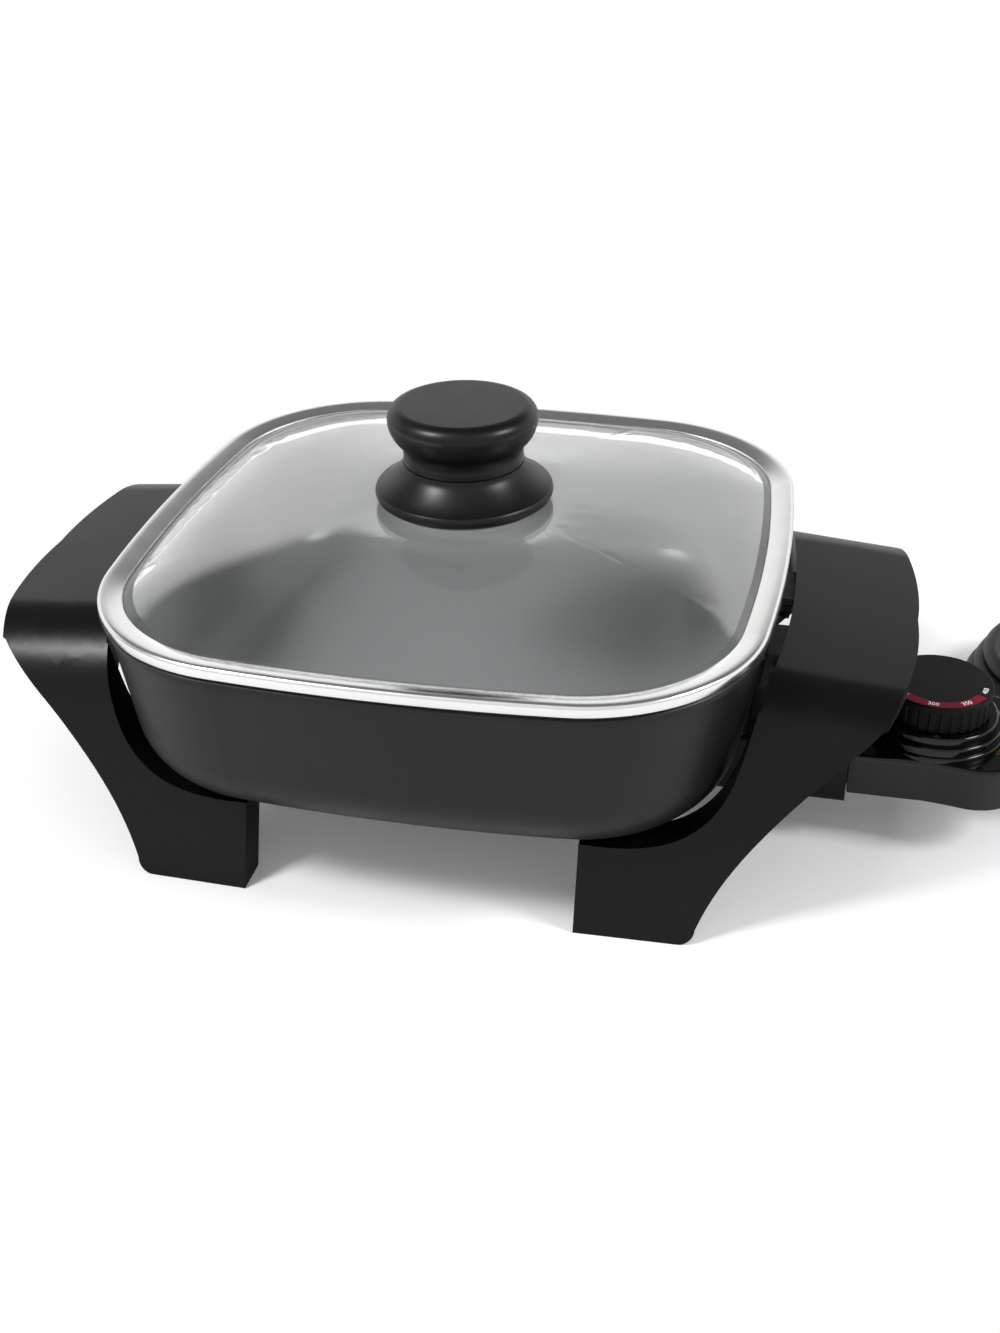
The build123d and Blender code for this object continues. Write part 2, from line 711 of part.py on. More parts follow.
with BuildPart() as pilot_lamp:
    disc(2.0, 22.5, 29.0, 182.5, -12)
    with Locations((182.5, -12, 29.0)):
        Sphere(2.0)
save(pilot_lamp, "pilot_lamp")

with BuildPart() as lamp_resistor:
    rod(1.3, 172, 179, -12.5, 21.1)
    rod(0.35, 168.5, 181.5, -12.5, 21.1)
save(lamp_resistor, "lamp_resistor")

with BuildPart() as lamp_lens:
    disc(2.4, 31.4, 33.6, 182.5, -12)
    fillet(lamp_lens.faces().sort_by(Axis.Z)[-1].edges(), radius=0.9)
save(lamp_lens, "lamp_lens")

# ---- dial --------------------------------------------------------------------------------
scale_in = 13.4
scale_out = 16.9
scale_deep = 0.5
scale_from = 196.0     # the coloured band covers the front of the dial only
scale_to = 332.0


def scale_band(gap):
    """Arc-shaped outline of the dial's coloured band, smaller all round by a gap."""
    inner = scale_in + gap
    outer = scale_out - gap
    swept = scale_to - scale_from
    with BuildSketch() as band:
        with BuildLine():
            CenterArc((dial_x, 0), outer, scale_from, swept)
            CenterArc((dial_x, 0), inner, scale_from, swept)
            for angle in (scale_from, scale_to):
                along = Vector(1, 0).rotate(Axis.Z, angle)
                Line(Vector(dial_x, 0) + along * inner, Vector(dial_x, 0) + along * outer)
        make_face()
    return band.sketch


with BuildPart() as dial_cap:
    disc(dial_r, 41.1, dial_top, dial_x)
    fillet(dial_cap.faces().sort_by(Axis.Z)[-1].edges(), radius=0.6)
    disc(15.4, 41.0, 47.6, dial_x, mode=Mode.SUBTRACT)
    disc(5.4, 41.1, 48.0, dial_x)
    disc(2.97, 41.0, 47.8, dial_x, mode=Mode.SUBTRACT)
    with BuildSketch(Plane.XY.offset(dial_top)):
        add(scale_band(0))
    extrude(amount=-scale_deep, mode=Mode.SUBTRACT)
    # finger grooves round the grip
    with BuildSketch(Plane.XY.offset(41.0)):
        with Locations((dial_x, 0)):
            with PolarLocations(dial_r + 0.35, 32):
                Circle(0.8)
    extrude(amount=7.4, mode=Mode.SUBTRACT)
save(dial_cap, "dial_cap")

with BuildPart() as dial_scale:
    with BuildSketch(Plane.XY.offset(dial_top - scale_deep)):
        add(scale_band(0.05))
    extrude(amount=scale_deep + 0.05)
save(dial_scale, "dial_scale")

with BuildPart() as dial_spindle:
    disc(2.97, 33.3, 47.8, dial_x)
    chamfer(dial_spindle.faces().sort_by(Axis.Z)[-1].edges(), length=0.5)
save(dial_spindle, "dial_spindle")

with BuildPart() as dial_cam:
    disc(9.0, 33.6, 36.2, dial_x)
    with Locations(Location((dial_x, 0, 34.39), (0, -5, 0))):
        Box(30, 30, 4, align=(Align.CENTER, Align.CENTER, Align.MAX), mode=Mode.SUBTRACT)
    disc(2.97, 33, 37, dial_x, mode=Mode.SUBTRACT)
save(dial_cam, "dial_cam")

with BuildPart() as spindle_clip:
    disc(4.6, 36.25, 36.7, dial_x)
    disc(2.97, 36, 37, dial_x, mode=Mode.SUBTRACT)
    block(dial_x, dial_x + 6, -1.4, 1.4, 36, 37, Mode.SUBTRACT)
save(spindle_clip, "spindle_clip")

# ---- supply cord: sleeve, run to the table, coil and plug --------------------------------
relief_end = 212.0
cord_start = 200.0     # the cord goes this far into the moulded sleeve

with BuildPart() as strain_relief:
    with BuildSketch(Plane.XZ):
        with Locations((0, cord_z)):
            Polygon(
                (180.0, 0),
                (180.0, cord_r),
                (187.4, cord_r),
                (187.4, 5.4),
                (189.7, 5.4),
                (189.7, 4.4),
                (192.1, 4.4),
                (192.1, 6.0),
                (195.0, 6.0),
                (relief_end, 4.5),
                (relief_end, cord_r + 0.05),
                (cord_start, cord_r + 0.05),
                (cord_start, 0),
                align=None,
            )
    revolve(axis=Axis((0, 0, cord_z), (1, 0, 0)))
    for x in (197.5, 201.5, 205.5):
        # flexing slots
        block(x, x + 1.4, -7, 7, cord_z + 3.9, cord_z + 8, Mode.SUBTRACT)
        block(x, x + 1.4, -7, 7, cord_z - 8, cord_z - 3.9, Mode.SUBTRACT)
save(strain_relief, "strain_relief")

coil_r = 41.5          # radius of the first turn, at the middle of the cord
coil_in = 3.0          # how much smaller each turn is than the one before
coil_up = 5.9          # how much higher each turn lies
coil_turns = 2.88
lying = cord_r + 0.1   # height of the cord's middle where it lies on the table

cord_route = [
    (cord_start, 0, cord_z),
    (225.0, 0, cord_z),
    (246.6, 12.5, 20.5),
    (257.6, 29.5, 11.0),
    (260.6, 51.0, lying + 0.2),
    (260.3, 79.0, lying),
]
tail_route = [
    (243.2, 64.9, 19.8),
    (257.5, 82.0, 20.0),
    (265.5, 102.5, 13.0),
    (268.0, 124.0, 7.5),
    (268.0, 145.5, 7.5),
]


def bend_radii(route):
    """The largest arc that fits each corner of a route, given its two runs."""
    points = [Vector(*point) for point in route]
    radii = []
    for before, corner, after in zip(points, points[1:], points[2:]):
        turned = radians((corner - before).get_angle(after - corner))
        run = min((corner - before).length, (after - corner).length)
        radii.append(0.45 * run / tan(turned / 2))
    return radii


def cord_tube(route):
    """Round cord along a route: straight runs joined by arcs."""
    radii = bend_radii(route)
    with BuildPart() as tube:
        with BuildLine() as middle:
            FilletPolyline(*route, radius=radii)
        with BuildSketch(Plane(origin=route[0], z_dir=Vector(*route[1]) - Vector(*route[0]))):
            Circle(cord_r)
        sweep()
    length = sum(edge.length for edge in middle.edges())
    print("cord radii", [round(r, 1) for r in radii], "length", round(length, 1))
    print("volume", round(tube.part.volume, 1), "section x length", round(pi * cord_r**2 * length, 1))
    return tube


cord = cord_tube(cord_route)
save(cord, "cord")

cord_tail = cord_tube(tail_route)
save(cord_tail, "cord_tail")

with BuildPart() as cord_coil:
    # outer shape of the coil: turns that lie on each other and wind slowly inwards
    top_r = coil_r - coil_in * coil_turns
    top_z = lying + coil_up * 2.8
    middle = Vector(*coil_centre)
    with BuildSketch(Plane(origin=middle, x_dir=(1, 0, 0), z_dir=(0, -1, 0))):
        Polygon(
            (coil_r - 5.0, 0.1),
            (coil_r + 2.0, 0.1),
            (coil_r + cord_r, 1.6),
            (coil_r + cord_r, 5.0),
            (top_r + cord_r + 0.2, top_z + 1.7),
            (top_r + 1.9, top_z + cord_r),
            (top_r - 1.7, top_z + cord_r),
            (top_r - cord_r, top_z + 1.7),
            (top_r - cord_r, top_z - 2.0),
            (coil_r - 6.3, 5.0),
            (coil_r - 6.3, 1.6),
            align=None,
        )
    revolve(axis=Axis(middle, (0, 0, 1)))
save(cord_coil, "cord_coil")

plug_x = 268.0
plug_y = 150.0         # where the plug's square body starts
plug_long = 21.0
plug_z = 7.5
with BuildPart() as plug_body:
    block(plug_x - 11, plug_x + 11, plug_y, plug_y + plug_long, 0, 2 * plug_z)
    fillet(plug_body.edges().filter_by(Axis.Y), radius=4)
    fillet(plug_body.faces().sort_by(Axis.Y)[0].edges(), radius=3)
    with BuildSketch(Plane.XZ.offset(-plug_y - 2)):
        with Locations((plug_x, plug_z)):
            Circle(5.8)
    extrude(amount=13.5, taper=4)
    with BuildSketch(Plane.XZ.offset(4.4 - plug_y)):
        with Locations((plug_x, plug_z)):
            Circle(cord_r + 0.05)
    extrude(amount=10, mode=Mode.SUBTRACT)
save(plug_body, "plug_body")

with BuildPart() as plug_blades:
    for x in (plug_x - 6.35, plug_x + 6.35):
        blade_y = plug_y + plug_long
        block(x - 0.75, x + 0.75, blade_y, blade_y + 16, plug_z - 3.15, plug_z + 3.15)
        with Locations((x, blade_y + 12.5, plug_z)):
            Cylinder(1.6, 4, rotation=(0, 90, 0), mode=Mode.SUBTRACT)
    tips = plug_blades.faces().group_by(Axis.Y)[-1].edges().filter_by(Axis.X)
    fillet(tips, radius=1.5)
save(plug_blades, "plug_blades")
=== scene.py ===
# %% [markdown]
# # A square electric skillet
#
# This lesson dresses an electric skillet: a cast pan on two bridge-shaped handles that are also
# its legs, a domed glass lid in a steel rim, and a plug-in heat control with a dial and a cord.
# The solid pieces come from the CAD frame at their real size. They could be modelled again in
# Blender, but then two models would have to agree. So they stay as they are, and here they get
# their finishes, softened edges, printed numbers and a flexible cord, and then a small studio.

# %% Load the frame
import json
from math import cos, pi, radians, sin

import bpy
from mathutils import Matrix, Vector


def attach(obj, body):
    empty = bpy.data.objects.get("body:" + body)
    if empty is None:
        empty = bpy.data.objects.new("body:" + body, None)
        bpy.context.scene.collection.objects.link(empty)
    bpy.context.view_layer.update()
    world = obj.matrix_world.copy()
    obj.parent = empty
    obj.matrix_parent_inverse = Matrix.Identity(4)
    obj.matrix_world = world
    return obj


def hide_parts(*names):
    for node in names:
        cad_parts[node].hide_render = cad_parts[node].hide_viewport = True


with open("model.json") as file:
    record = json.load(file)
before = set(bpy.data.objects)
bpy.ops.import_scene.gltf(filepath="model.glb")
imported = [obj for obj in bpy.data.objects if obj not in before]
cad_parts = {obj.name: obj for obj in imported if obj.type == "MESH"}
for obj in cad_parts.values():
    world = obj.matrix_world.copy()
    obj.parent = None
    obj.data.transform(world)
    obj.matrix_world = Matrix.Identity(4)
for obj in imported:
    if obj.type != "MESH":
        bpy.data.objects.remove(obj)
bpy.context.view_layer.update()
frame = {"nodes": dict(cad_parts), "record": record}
nodes = frame["nodes"]
MM = 0.001  # Blender's unit is the metre

# %% [markdown]
# ## The camera
#
# A product picture of a low pan is taken from a little above and a little to one side, so that
# the lid, one long side and the control all show. A camera can be aimed by a constraint, but
# three turns say the same in numbers: tip down, swing round, and a slight roll.

# %% Camera
LOOK_AT = Vector((11.12, 0.0, 38.55)) * MM
DISTANCE = 0.56635  # metres
AZIMUTH = radians(13.086)
ELEVATION = radians(30.855)
ROLL = radians(-0.894)
FOCAL_LENGTH = 43.48  # millimetres, as on a lens
NEAREST_SEEN = 10 * MM

camera_data = bpy.data.cameras.new("studio_camera")
camera_data.lens = FOCAL_LENGTH
camera_data.clip_start = NEAREST_SEEN
camera = bpy.data.objects.new("studio_camera", camera_data)
bpy.context.collection.objects.link(camera)
turns = (
    Matrix.Rotation(AZIMUTH, 4, "Z")
    @ Matrix.Rotation(pi / 2 - ELEVATION, 4, "X")
    @ Matrix.Rotation(ROLL, 4, "Z")
)
away = Vector((sin(AZIMUTH) * cos(ELEVATION), -cos(AZIMUTH) * cos(ELEVATION), sin(ELEVATION)))
camera.matrix_world = Matrix.Translation(LOOK_AT + away * DISTANCE) @ turns
bpy.context.scene.camera = camera
bpy.context.scene.view_settings.view_transform = "Standard"
print("camera stands at", [round(x, 3) for x in camera.location])

# %% [markdown]
# ## Making materials
#
# Every finish starts from Blender's Principled shader, which covers plastic, metal and glass with
# one set of sliders. A value that is the same all over is set on the shader itself. Anything that
# varies is a small network of nodes, so the first helpers make a plain finish and add a node.

# %% A plain finish, and one more node
def opaque(colour):
    """A colour as sockets take it, with full opacity."""
    return (*colour, 1.0)


def new_finish(name, colour, roughness, metallic=0.0):
    """A material with an even Principled shader. Returns the material and its parts."""
    material = bpy.data.materials.new(name)
    material.use_nodes = True
    tree = material.node_tree
    shader = tree.nodes["Principled BSDF"]
    shader.inputs["Base Color"].default_value = opaque(colour)
    shader.inputs["Roughness"].default_value = roughness
    shader.inputs["Metallic"].default_value = metallic
    return material, tree, shader


def add_node(tree, kind, inputs=(), **settings):
    """A new node. Its inputs are pairs: a socket or a plain value, and where it goes."""
    node = tree.nodes.new(kind)
    for name, value in settings.items():
        setattr(node, name, value)
    for source, place in inputs:
        if isinstance(source, bpy.types.NodeSocket):
            tree.links.new(source, node.inputs[place])
        else:
            node.inputs[place].default_value = source
    return node


print("helpers: opaque, new_finish, add_node")

# %% [markdown]
# ## Numbers and colours in a network
#
# A Map Range node turns one stretch of numbers into another, and a Mix node runs from one colour
# or number to another. A Mix node has a set of sockets for each kind of value: inputs 6 and 7 and
# output 2 for colours, inputs 2 and 3 and output 0 for numbers. The sets share their names, so a
# place is the safer way to pick a socket.

# %% Numbers and colours
def between(tree, source, low, high, start=0.3, end=0.7):
    """Runs from low to high as the source goes from start to end. Noise is mostly 0.3 to 0.7."""
    inputs = [
        (source, "Value"),
        (start, "From Min"),
        (end, "From Max"),
        (low, "To Min"),
        (high, "To Max"),
    ]
    return add_node(tree, "ShaderNodeMapRange", inputs).outputs["Result"]


def blend_colours(tree, factor, first, second):
    """Runs from the first colour to the second as the factor goes from 0 to 1."""
    inputs = [(factor, "Factor"), (first, 6), (second, 7)]
    return add_node(tree, "ShaderNodeMix", inputs, data_type="RGBA").outputs[2]


print("helpers: between, blend_colours")

# %% [markdown]
# ## What varies over a surface
#
# A moulding has a fine grain, and handling leaves its gloss uneven. An image could carry both,
# but noise textures need no file and stay sharp at any distance. Object coordinates are in metres
# here, so a noise scale is simply one divided by the size of a grain.

# %% Tone, gloss and grain
def place_of(tree):
    """The socket that says where on the object a point is, in metres."""
    return add_node(tree, "ShaderNodeTexCoord").outputs["Object"]


def noise(tree, size, detail=2.0):
    """A noise texture whose grains are about size metres across."""
    inputs = [(place_of(tree), "Vector"), (1.0 / size, "Scale"), (detail, "Detail")]
    return add_node(tree, "ShaderNodeTexNoise", inputs).outputs["Fac"]


def two_tone(tree, shader, size, colour_a, colour_b):
    """Lets the colour drift between two near shades."""
    drift = between(tree, noise(tree, size, detail=3.0), 0.0, 1.0)
    colour = blend_colours(tree, drift, opaque(colour_a), opaque(colour_b))
    tree.links.new(colour, shader.inputs["Base Color"])


def uneven_gloss(tree, shader, size, low, high):
    """Lets the roughness drift between two values, as handling and moulding leave it."""
    drift = between(tree, noise(tree, size, detail=4.0), low, high)
    tree.links.new(drift, shader.inputs["Roughness"])


def grain(tree, shader, size, depth, strength=0.5):
    """Raises a fine grain on the surface. Its size and depth are in metres."""
    inputs = [(noise(tree, size), "Height"), (depth, "Distance"), (strength, "Strength")]
    bump = add_node(tree, "ShaderNodeBump", inputs)
    tree.links.new(bump.outputs["Normal"], shader.inputs["Normal"])


print("helpers: place_of, noise, two_tone, uneven_gloss, grain")

# %% [markdown]
# ## Moulded black plastic
#
# The handles, the knob and the terminal shroud are heat-proof thermoset, pressed in a tool with
# a satin skin. Up close it has a very fine orange-peel grain. The control's cover is glossier and
# its dial duller. All are nearly black, so what tells them apart is how sharply and how strongly
# they mirror, and one function with those two values makes the whole family.

# %% Plastics
TONE_PATCH = 0.03  # metres across
GLOSS_PATCH = 0.02


def plastic(name, shade, gloss, grain_size=0.0006, grain_depth=0.00002, shine=0.36):
    """Black moulding: its shade, its (low, high) roughness, its grain and how much it mirrors."""
    material, tree, shader = new_finish(name, (shade, shade, shade * 1.02), gloss[0])
    shader.inputs["Specular IOR Level"].default_value = shine
    darker = (shade * 0.92,) * 3
    lighter = (shade * 1.1, shade * 1.1, shade * 1.12)
    two_tone(tree, shader, TONE_PATCH, darker, lighter)
    uneven_gloss(tree, shader, GLOSS_PATCH, *gloss)
    grain(tree, shader, grain_size, grain_depth)
    return material


satin_black = plastic("satin_black", 0.003, (0.28, 0.31), shine=0.21)
knob_black = plastic("knob_black", 0.003, (0.31, 0.36), shine=0.30)
tray_black = plastic("tray_black", 0.010, (0.40, 0.48))
gloss_black = plastic(
    "gloss_black", 0.002, (0.08, 0.13), grain_size=0.004, grain_depth=0.000006, shine=0.42
)
dial_black = plastic("dial_black", 0.003, (0.44, 0.52), shine=0.12)
soft_black = plastic("soft_black", 0.009, (0.5, 0.58))
print("plastics made")

# %% [markdown]
# ## Cast pan
#
# The pan is one aluminium casting. Outside it has a satin charcoal coating, inside a smoother
# grey non-stick one. Its faces could be sorted into two materials by hand. Instead one material
# holds both: where a face looks towards the middle of the pan, or straight up, it is inside. The
# face's own direction and place decide that, so the border follows the lip by itself.

# %% Which way a face looks
def on_vectors(tree, operation, *vectors):
    """A Vector Math node on one or two vectors."""
    inputs = [(vector, place) for place, vector in enumerate(vectors)]
    return add_node(tree, "ShaderNodeVectorMath", inputs, operation=operation)


def facing_inward(tree):
    """How far a face looks towards the middle (-1 to 1), and how far up."""
    facing = add_node(tree, "ShaderNodeTexCoord")
    place = facing.outputs["Object"]
    normal = facing.outputs["Normal"]
    to_middle = on_vectors(tree, "MULTIPLY", place, (-1.0, -1.0, 0.0)).outputs["Vector"]
    inward = on_vectors(tree, "NORMALIZE", to_middle).outputs["Vector"]
    towards = on_vectors(tree, "DOT_PRODUCT", inward, normal)
    parts = add_node(tree, "ShaderNodeSeparateXYZ", [(normal, "Vector")])
    return towards.outputs["Value"], parts.outputs["Z"]


print("helpers: on_vectors, facing_inward")

# %% [markdown]
# ## Two coatings on one casting
#
# Each coating has a speckle of two tones and a gloss of its own. One number says how far a point
# is inside, and two Mix nodes then run from the outer coating to the inner one: one for colour,
# one for gloss. The switch is quick but not sudden, as the edge of a sprayed coating is.

# %% Joining numbers
def combine(tree, operation, first, second):
    """What a Math node makes of two numbers."""
    inputs = [(first, 0), (second, 1)]
    return add_node(tree, "ShaderNodeMath", inputs, operation=operation).outputs[0]


def blend_numbers(tree, factor, first, second):
    """Runs from the first number to the second as the factor goes from 0 to 1."""
    inputs = [(factor, "Factor"), (first, 2), (second, 3)]
    return add_node(tree, "ShaderNodeMix", inputs, data_type="FLOAT").outputs[0]


print("helpers: combine, blend_numbers")

# %% Pan coating
OUTSIDE_TONES = ((0.005, 0.005, 0.0052), (0.009, 0.009, 0.0094))
OUTSIDE_SPECKLE = 0.0009  # metres across, as the other speckle and the patches
OUTSIDE_GLOSS = (0.36, 0.44)
OUTSIDE_GLOSS_PATCH = 0.02
INSIDE_TONES = ((0.100, 0.100, 0.102), (0.135, 0.135, 0.138))
INSIDE_SPECKLE = 0.0007
INSIDE_GLOSS = (0.29, 0.33)
INSIDE_GLOSS_PATCH = 0.03
PAN_SHINE = 0.28
PAN_GRAIN_DEPTH = 0.000012  # metres
LIP_START = 0.05  # inward and upward together: outside below this
LIP_END = 0.1  # and inside above this


def speckle(tree, size, detail, tones):
    """A fine speckle of two tones."""
    dark, light = tones
    return blend_colours(tree, noise(tree, size, detail), opaque(dark), opaque(light))


def pan_coating():
    """Two coatings that meet at the lip."""
    material, tree, shader = new_finish("pan_coating", (0.05, 0.05, 0.05), 0.35)
    shader.inputs["Specular IOR Level"].default_value = PAN_SHINE
    inward, upward = facing_inward(tree)
    inside = between(tree, combine(tree, "ADD", inward, upward), 0.0, 1.0, LIP_START, LIP_END)
    outer = speckle(tree, OUTSIDE_SPECKLE, 3.0, OUTSIDE_TONES)
    inner = speckle(tree, INSIDE_SPECKLE, 2.0, INSIDE_TONES)
    tree.links.new(blend_colours(tree, inside, outer, inner), shader.inputs["Base Color"])
    outer_gloss = between(tree, noise(tree, OUTSIDE_GLOSS_PATCH, 3.0), *OUTSIDE_GLOSS)
    inner_gloss = between(tree, noise(tree, INSIDE_GLOSS_PATCH, 3.0), *INSIDE_GLOSS)
    gloss = blend_numbers(tree, inside, outer_gloss, inner_gloss)
    tree.links.new(gloss, shader.inputs["Roughness"])
    grain(tree, shader, OUTSIDE_SPECKLE, PAN_GRAIN_DEPTH, 0.4)
    return material


pan_finish = pan_coating()
print("pan coated")

# %% [markdown]
# ## Metals
#
# Metals have no colour of their own beyond what they mirror. The lid's rim is rolled from
# polished strip and is almost even. Small fasteners are zinc plated, and the element's sheath is
# dulled by heat. A full metallic value gives all of them, and only tint, gloss and grain differ.

# %% Metals
METAL_TONE_PATCH = 0.012  # metres across
METAL_GLOSS_PATCH = 0.006


def metal(name, colour, gloss, grain_size=0.0004, grain_depth=0.000004, tint=0.9):
    """A metal with drifting tone and gloss and a slight grain. Tint sets its darker tone."""
    material, tree, shader = new_finish(name, colour, gloss[0], 1.0)
    two_tone(tree, shader, METAL_TONE_PATCH, [c * tint for c in colour], colour)
    uneven_gloss(tree, shader, METAL_GLOSS_PATCH, *gloss)
    grain(tree, shader, grain_size, grain_depth, 0.3)
    return material


rim_steel = metal("rim_steel", (0.92, 0.92, 0.91), (0.19, 0.23), 0.003, 0.000001, 0.97)
plated_steel = metal("plated_steel", (0.62, 0.62, 0.60), (0.28, 0.36))
probe_steel = metal("probe_steel", (0.66, 0.66, 0.66), (0.16, 0.24))
element_sheath = metal("element_sheath", (0.30, 0.27, 0.24), (0.35, 0.5), 0.0006, 0.00001, 0.7)
brass = metal("brass", (0.76, 0.58, 0.27), (0.2, 0.26))
plug_brass = metal("plug_brass", (0.80, 0.70, 0.46), (0.16, 0.24))
bimetal = metal("bimetal", (0.55, 0.50, 0.42), (0.28, 0.36))
silver_contact = metal("silver_contact", (0.85, 0.85, 0.84), (0.2, 0.26))
print("metals made")

# %% [markdown]
# ## The rim's inner faces
#
# Polished steel that looks across a dark pan mirrors only the pan, and turns black. More lamps
# would change the whole picture, so the faces that look to the middle get a brushed finish
# instead, which takes light from all sides: rougher, and a little less metallic. The same test
# that finds the inside of the pan finds them.

# %% Brushed inner faces of the rim
SKIRT_START = 0.55  # how far a face looks to the middle before it starts to be brushed
SKIRT_END = 0.75
BRUSHED_ROUGHNESS = 0.55
BRUSHED_METALLIC = 0.6


def brushed_inside(material):
    """Makes the faces that look to the middle brushed, so they take light from all sides."""
    tree = material.node_tree
    shader = tree.nodes["Principled BSDF"]
    inward, _ = facing_inward(tree)
    skirt = between(tree, inward, 0.0, 1.0, SKIRT_START, SKIRT_END)
    polished = shader.inputs["Roughness"].links[0].from_socket
    gloss = blend_numbers(tree, skirt, polished, BRUSHED_ROUGHNESS)
    tree.links.new(gloss, shader.inputs["Roughness"])
    metallic = between(tree, skirt, 1.0, BRUSHED_METALLIC, 0.0, 1.0)
    tree.links.new(metallic, shader.inputs["Metallic"])


brushed_inside(rim_steel)
print("rim brushed inside")

# %% [markdown]
# ## Glass
#
# Tempered lid glass is clear and thin. Refracting glass keeps lamps from what is under it, so
# rays that only ask whether a lamp is in the way go through a clear shader instead. So do rays at
# the flat underside of the lid's edge, which would otherwise act as a prism and look black.

# %% Glass
GLASS_IOR = 1.47
GLASS_PATCH = 0.03  # metres across: a patch of faint tint
SEEN_THROUGH = (0.93, 0.95, 0.94)  # what the clear shader lets through
BORDER = 0.05 * MM  # half the height over which the clear shader takes over


def choose_shader(tree, factor, first, second):
    """Gives the material the first shader where the factor is 0, the second where it is 1."""
    inputs = [(factor, 0), (first.outputs[0], 1), (second.outputs[0], 2)]
    chosen = add_node(tree, "ShaderNodeMixShader", inputs)
    tree.links.new(chosen.outputs[0], tree.nodes["Material Output"].inputs["Surface"])


def clear_glass(name, colour, roughness, clear_below=0.0):
    """Glass that bends light and lets lamps through. Below a height it doesn't bend light."""
    material, tree, shader = new_finish(name, colour, roughness)
    shader.inputs["Transmission Weight"].default_value = 1.0
    shader.inputs["IOR"].default_value = GLASS_IOR
    darker = opaque([c * 0.985 for c in colour])
    tint = blend_colours(tree, noise(tree, GLASS_PATCH), darker, opaque(colour))
    tree.links.new(tint, shader.inputs["Base Color"])
    path = add_node(tree, "ShaderNodeLightPath")
    clear = add_node(tree, "ShaderNodeBsdfTransparent", [(opaque(SEEN_THROUGH), "Color")])
    height = add_node(tree, "ShaderNodeSeparateXYZ", [(place_of(tree), "Vector")])
    limits = (clear_below - BORDER, clear_below + BORDER)
    low = between(tree, height.outputs["Z"], 1.0, 0.0, *limits)
    either = combine(tree, "MAXIMUM", path.outputs["Is Shadow Ray"], low)
    choose_shader(tree, either, shader, clear)
    return material


LID_EDGE_UNDERSIDE = 88.6  # millimetres above the table
lid_glass_finish = clear_glass(
    "lid_glass_clear", (0.985, 0.995, 0.99), 0.0, (LID_EDGE_UNDERSIDE + 0.1) * MM
)
neon_glass = clear_glass("neon_glass", (1.0, 0.62, 0.40), 0.05)
print("glass made")

# %% [markdown]
# ## The small finishes
#
# Inside the control are fired ceramic, a lacquered resistor, a nylon cam and sleeved leads, and
# silicone seals sit under the knob. They are seldom seen, but a part that comes apart should look
# right on the bench too. Print, cord and black steel come from the same function, because at this
# size a drifting tone and a light grain are enough.

# %% Small finishes
SMALL_PATCH = 0.002  # metres across: a patch of tone
SMALL_GRAIN = 0.0004
SMALL_GRAIN_DEPTH = 0.00001


def simple(name, colour, gloss, shine=0.5):
    """An even material with drifting tone and a light grain."""
    material, tree, shader = new_finish(name, colour, gloss[0])
    shader.inputs["Specular IOR Level"].default_value = shine
    two_tone(tree, shader, SMALL_PATCH, [c * 0.9 for c in colour], colour)
    uneven_gloss(tree, shader, 2 * SMALL_PATCH, *gloss)
    grain(tree, shader, SMALL_GRAIN, SMALL_GRAIN_DEPTH, 0.4)
    return material


ceramic = simple("ceramic", (0.80, 0.78, 0.72), (0.5, 0.65))
silicone = simple("silicone", (0.25, 0.25, 0.25), (0.45, 0.55))
lead_insulation = simple("lead_insulation", (0.70, 0.69, 0.64), (0.6, 0.75))
resistor = simple("resistor", (0.55, 0.40, 0.26), (0.28, 0.36))
amber_lens = simple("amber_lens", (0.07, 0.016, 0.008), (0.08, 0.14))
nylon = simple("nylon", (0.78, 0.78, 0.74), (0.4, 0.5))
white_print = simple("white_print", (0.90, 0.90, 0.90), (0.4, 0.5))
red_print = simple("red_print", (0.15, 0.004, 0.018), (0.45, 0.52), shine=0.12)
cord_black = simple("cord_black", (0.014, 0.014, 0.0145), (0.42, 0.52))
black_steel = simple("black_steel", (0.008, 0.008, 0.008), (0.4, 0.5))
print("small finishes made")

# %% [markdown]
# ## Dressing the pieces
#
# The frame's record names a material for each piece, such as plated steel, and that picks the
# finish. A few pieces differ from it to the eye, so a second short list names those, which is
# easier to follow than one long list of every piece.

# %% Give every piece its finish
finish_of_slot = {
    "nonstick_aluminium": pan_finish,
    "element_sheath": element_sheath,
    "ceramic": ceramic,
    "plated_steel": plated_steel,
    "satin_black": satin_black,
    "black_steel": black_steel,
    "clear_glass": lid_glass_finish,
    "polished_steel": rim_steel,
    "silicone": silicone,
    "brass": brass,
    "gloss_black": gloss_black,
    "white_print": white_print,
    "probe_steel": probe_steel,
    "bimetal": bimetal,
    "silver_contact": silver_contact,
    "lead_insulation": lead_insulation,
    "neon_glass": neon_glass,
    "resistor": resistor,
    "amber_lens": amber_lens,
    "soft_black": soft_black,
    "cord_black": cord_black,
    "plug_brass": plug_brass,
    "dial_black": dial_black,
    "red_print": red_print,
    "nylon": nylon,
}
own_finish = {
    "knob_base": knob_black,
    "knob_cap": knob_black,
    "control_tray": tray_black,
    "stud_washers": black_steel,
    "stud_nuts": black_steel,
    "index_mark": soft_black,
}
slot_of = {row["node"]: row["material_slot"] for row in frame["record"]["subparts"]}
for name, node in nodes.items():
    finish = own_finish.get(name, finish_of_slot[slot_of[name]])
    for place in node.material_slots:
        place.material = finish
print("finished", len(nodes), "pieces")
